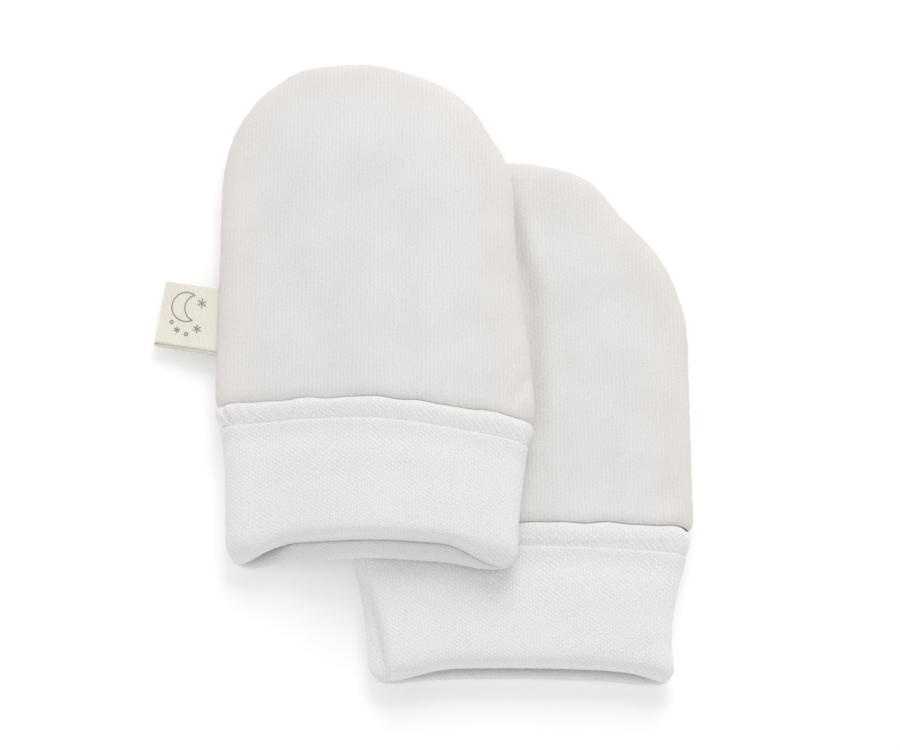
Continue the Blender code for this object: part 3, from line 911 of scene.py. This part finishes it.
def knit_material(name, raised, groove_painted_shade, rim_painted_shade, wale, course, lows, wander, relief, nap, fuzziness,
                  patches):
    """Colours are hex, the sunken one painted shade in the grooves; wale, course, wander, relief and
    nap are in mm.

    lows are the two ramps' least values; fuzziness is the nap's share in the relief, and patches
    how strong the clouds are.
    """
    material, shader = new_material(name, roughness=0.92, sheen=0.12)
    place = add(material, "ShaderNodeUVMap", {"uv_map": "UVMap"}).outputs["UV"]
    slow = add(material, "ShaderNodeTexNoise", {"noise_dimensions": "2D"},
               {"Vector": place, "Scale": 1.0 / WANDER_LENGTH, "Detail": 2.0}).outputs["Fac"]
    split = add(material, "ShaderNodeSeparateXYZ", inputs={0: place})
    drift = add(material, "ShaderNodeMath", {"operation": "MULTIPLY_ADD"},
                {0: slow, 1: wander, 2: split.outputs["X"]}).outputs[0]
    wales = add(material, "ShaderNodeMath", {"operation": "MULTIPLY"},
                {0: drift, 1: 1.0 / wale}).outputs[0]
    ramp = add(material, "ShaderNodeMath", {"operation": "PINGPONG"}, {0: wales, 1: 0.5}).outputs[0]
    ridge = add(material, "ShaderNodeMapRange", {"interpolation_type": "SMOOTHSTEP"},
                {"Value": ramp, "From Max": 0.5, "To Min": lows[0]}).outputs["Result"]
    rows = add(material, "ShaderNodeMath", {"operation": "MULTIPLY"},
               {0: split.outputs["Y"], 1: 1.0 / course}).outputs[0]
    courses = add(material, "ShaderNodeMath", {"operation": "MULTIPLY_ADD"},
                  {0: wales, 1: HALF_A_STITCH, 2: rows}).outputs[0]
    leg_ramp = add(material, "ShaderNodeMath", {"operation": "PINGPONG"},
                   {0: courses, 1: 0.5}).outputs[0]
    leg = add(material, "ShaderNodeMapRange", {"interpolation_type": "SMOOTHSTEP"},
              {"Value": leg_ramp, "From Max": 0.5, "To Min": lows[1]}).outputs["Result"]
    stitch = add(material, "ShaderNodeMath", {"operation": "MULTIPLY"},
                 {0: ridge, 1: leg}).outputs[0]
    hairs = add(material, "ShaderNodeTexNoise", {"noise_dimensions": "2D"},
                {"Vector": place, "Scale": 1.0 / nap, "Detail": 1.5,
                 "Roughness": 0.6}).outputs["Fac"]
    fuzz = add(material, "ShaderNodeMapRange",
               inputs={"Value": hairs, "From Min": 0.3, "From Max": 0.7}).outputs["Result"]
    height = add(material, "ShaderNodeMix", {"data_type": "FLOAT"},
                 {0: fuzziness, 2: stitch, 3: fuzz}).outputs[0]
    # painted shade: the stitches' low parts take the darker colour; the nap's noise adds random tone
    colour = add(material, "ShaderNodeMix", {"data_type": "RGBA"},
                 {0: height, 6: linear(groove_painted_shade), 7: linear(raised)}).outputs[2]
    clouds = add(material, "ShaderNodeTexNoise", {"noise_dimensions": "2D"},
                 {"Vector": place, "Scale": 1.0 / PATCH_LENGTH, "Detail": 3.0}).outputs["Fac"]
    laid = add(material, "ShaderNodeMapRange",
               inputs={"Value": clouds, "From Min": 0.35, "From Max": 0.65,
                       "To Max": patches}).outputs["Result"]
    colour = add(material, "ShaderNodeMix", {"data_type": "RGBA", "blend_type": "MULTIPLY"},
                 {0: laid, 6: colour, 7: linear(PATCH_SHADE)}).outputs[2]
    # painted shade: the mesh attribute darkens and pinks the colour at the rolled rim
    edge = add(material, "ShaderNodeAttribute", {"attribute_name": "shade"}).outputs["Fac"]
    with_rim_painted_shade = add(material, "ShaderNodeMix", {"data_type": "RGBA", "blend_type": "MULTIPLY"},
                 {0: edge, 6: colour, 7: linear(rim_painted_shade)}).outputs[2]
    bump = add(material, "ShaderNodeBump", inputs={"Height": height, "Distance": relief * MM,
                                                    "Strength": 1.0}).outputs["Normal"]
    material.node_tree.links.new(with_rim_painted_shade, shader.inputs["Base Color"])
    material.node_tree.links.new(bump, shader.inputs["Normal"])
    return material


# Brushed cotton interlock: fine flat wales under a short nap, a warm off-white.
# Its side seams are painted a touch darker and pinker, as shade where the cloth rolls away.
body_knit = knit_material("Brushed cotton interlock", raised="#eeedeb", groove_painted_shade="#e4e1df",
                          rim_painted_shade="#fcf8f8", wale=1.0, course=1.3, lows=(0.0, 0.6), wander=0.9,
                          relief=0.09, nap=0.42, fuzziness=0.6, patches=0.35)
# Cotton rib with a little elastane: bolder wales, a whiter and smoother face.
rib_knit = knit_material("Cotton rib", raised="#fbfaf9", groove_painted_shade="#e4e3e1", rim_painted_shade="#ffffff",
                         wale=0.76, course=1.08, lows=(0.1, 0.1), wander=0.6, relief=0.11, nap=0.4,
                         fuzziness=0.5, patches=0.12)
print("knits:", body_knit.name, "and", rib_knit.name)

# %% [markdown]
# ### Label tape
#
# The tape is plain-woven cotton with a thicker weft, which makes fine ribs across its length. It is
# unbleached, so it is yellower than the knit.

# %% Tape material
TAPE_RIB = 0.65
TAPE_RELIEF = 0.12

tape, tape_shader = new_material("Ribbed cotton tape", roughness=0.85, sheen=0.05)
tape_place = add(tape, "ShaderNodeUVMap", {"uv_map": "UVMap"}).outputs["UV"]
tape_split = add(tape, "ShaderNodeSeparateXYZ", inputs={0: tape_place})
tape_ribs = add(tape, "ShaderNodeMath", {"operation": "MULTIPLY"},
                {0: tape_split.outputs["X"], 1: 1.0 / TAPE_RIB}).outputs[0]
tape_ramp = add(tape, "ShaderNodeMath", {"operation": "PINGPONG"},
                {0: tape_ribs, 1: 0.5}).outputs[0]
tape_rib = add(tape, "ShaderNodeMapRange", {"interpolation_type": "SMOOTHSTEP"},
               {"Value": tape_ramp, "From Max": 0.5}).outputs["Result"]
tape_threads = add(tape, "ShaderNodeTexNoise", {"noise_dimensions": "2D"},
                   {"Vector": tape_place, "Scale": 3.0, "Detail": 3.0}).outputs["Fac"]
tape_height = add(tape, "ShaderNodeMath", {"operation": "MULTIPLY_ADD"},
                  {0: tape_threads, 1: 0.6, 2: tape_rib}).outputs[0]
# painted shade in the grooves between ribs, darker where the relief is low; the thread noise also
# gives uneven tone
tape_colour_and_groove_shade = add(tape, "ShaderNodeMix", {"data_type": "RGBA"},
                  {0: tape_height, 6: linear("#ebe5d7"), 7: linear("#f8f3e8")}).outputs[2]
tape_bump = add(tape, "ShaderNodeBump",
                inputs={"Height": tape_height, "Distance": TAPE_RELIEF * MM}).outputs["Normal"]
tape.node_tree.links.new(tape_colour_and_groove_shade, tape_shader.inputs["Base Color"])
tape.node_tree.links.new(tape_bump, tape_shader.inputs["Normal"])
print("tape:", tape.name)

# %% [markdown]
# ### Ink
#
# The motif is raised textile ink, taupe and matt, and a little paler where the ribs took less of
# it. Noise a quarter of a millimetre wide makes that unevenness.

# %% Ink material
INK_GRAIN = 0.25

ink, ink_shader = new_material("Taupe textile ink", roughness=0.7, sheen=0.0)
ink_place = add(ink, "ShaderNodeTexCoord").outputs["Object"]
ink_cover = add(ink, "ShaderNodeTexNoise",
                inputs={"Vector": ink_place, "Scale": 1.0 / (INK_GRAIN * MM),
                        "Detail": 2.0}).outputs["Fac"]
ink_colour = add(ink, "ShaderNodeMix", {"data_type": "RGBA"},
                 {0: ink_cover, 6: linear("#988c7a"), 7: linear("#b3a896")}).outputs[2]
ink.node_tree.links.new(ink_colour, ink_shader.inputs["Base Color"])
print("ink:", ink.name)

# %% [markdown]
# ## Dress the frame
#
# Each piece takes its material, rides on the frame's only body, and stands for its solid.

# %% Materials and places
def dress(piece, node, material):
    piece.data.materials.clear()
    piece.data.materials.append(material)
    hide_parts(node)
    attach(piece, "root")


for name, panel in panels.items():
    dress(panel, name, body_knit)
for name, cuff in cuffs.items():
    dress(cuff, name + "_cuff", rib_knit)
dress(label, "left_mitten_label", tape)
motif.data.materials.append(ink)
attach(motif, "root")
print("dressed:", len(panels) + len(cuffs) + 1, "pieces and the motif")

# %% [markdown]

# %% [markdown]
# ## Table and light
#
# A plain white table, an even white surround, and one large soft light behind the fingertips, which
# lays pale shadows towards the cuffs. The card glows faintly, which stands for the light that a
# white studio throws back on it.

# %% Table
CARD_GLOW = 0.17

bpy.ops.object.select_all(action="DESELECT")
bpy.ops.mesh.primitive_plane_add(size=6.0)
table = bpy.context.object
table.name = "Table"
paper, paper_shader = new_material("White card", roughness=0.9, sheen=0.0)
paper_shader.inputs["Base Color"].default_value = linear("#f2f2f2")
paper_shader.inputs["Emission Color"].default_value = linear("#ffffff")
paper_shader.inputs["Emission Strength"].default_value = CARD_GLOW
table.data.materials.append(paper)
print("table laid")

# %% Light
SURROUND = 0.785
SOFTBOX_PLACE = (0.30, 1.40, 1.30)
SOFTBOX_SIZE = 0.9
SOFTBOX_WATTS = 11.5

world = bpy.data.worlds.new("Studio")
world.use_nodes = True
world.node_tree.nodes["Background"].inputs["Color"].default_value = (1.0, 1.0, 1.0, 1.0)
world.node_tree.nodes["Background"].inputs["Strength"].default_value = SURROUND
bpy.context.scene.world = world

bpy.ops.object.light_add(type="AREA", location=SOFTBOX_PLACE)
softbox = bpy.context.object
softbox.name = "Softbox"
softbox.data.shape = "SQUARE"
softbox.data.size = SOFTBOX_SIZE
softbox.data.energy = SOFTBOX_WATTS
softbox.rotation_euler = (-softbox.location).to_track_quat("-Z", "Y").to_euler()
bpy.context.scene.view_settings.view_transform = "Standard"
print("lights:", softbox.name)
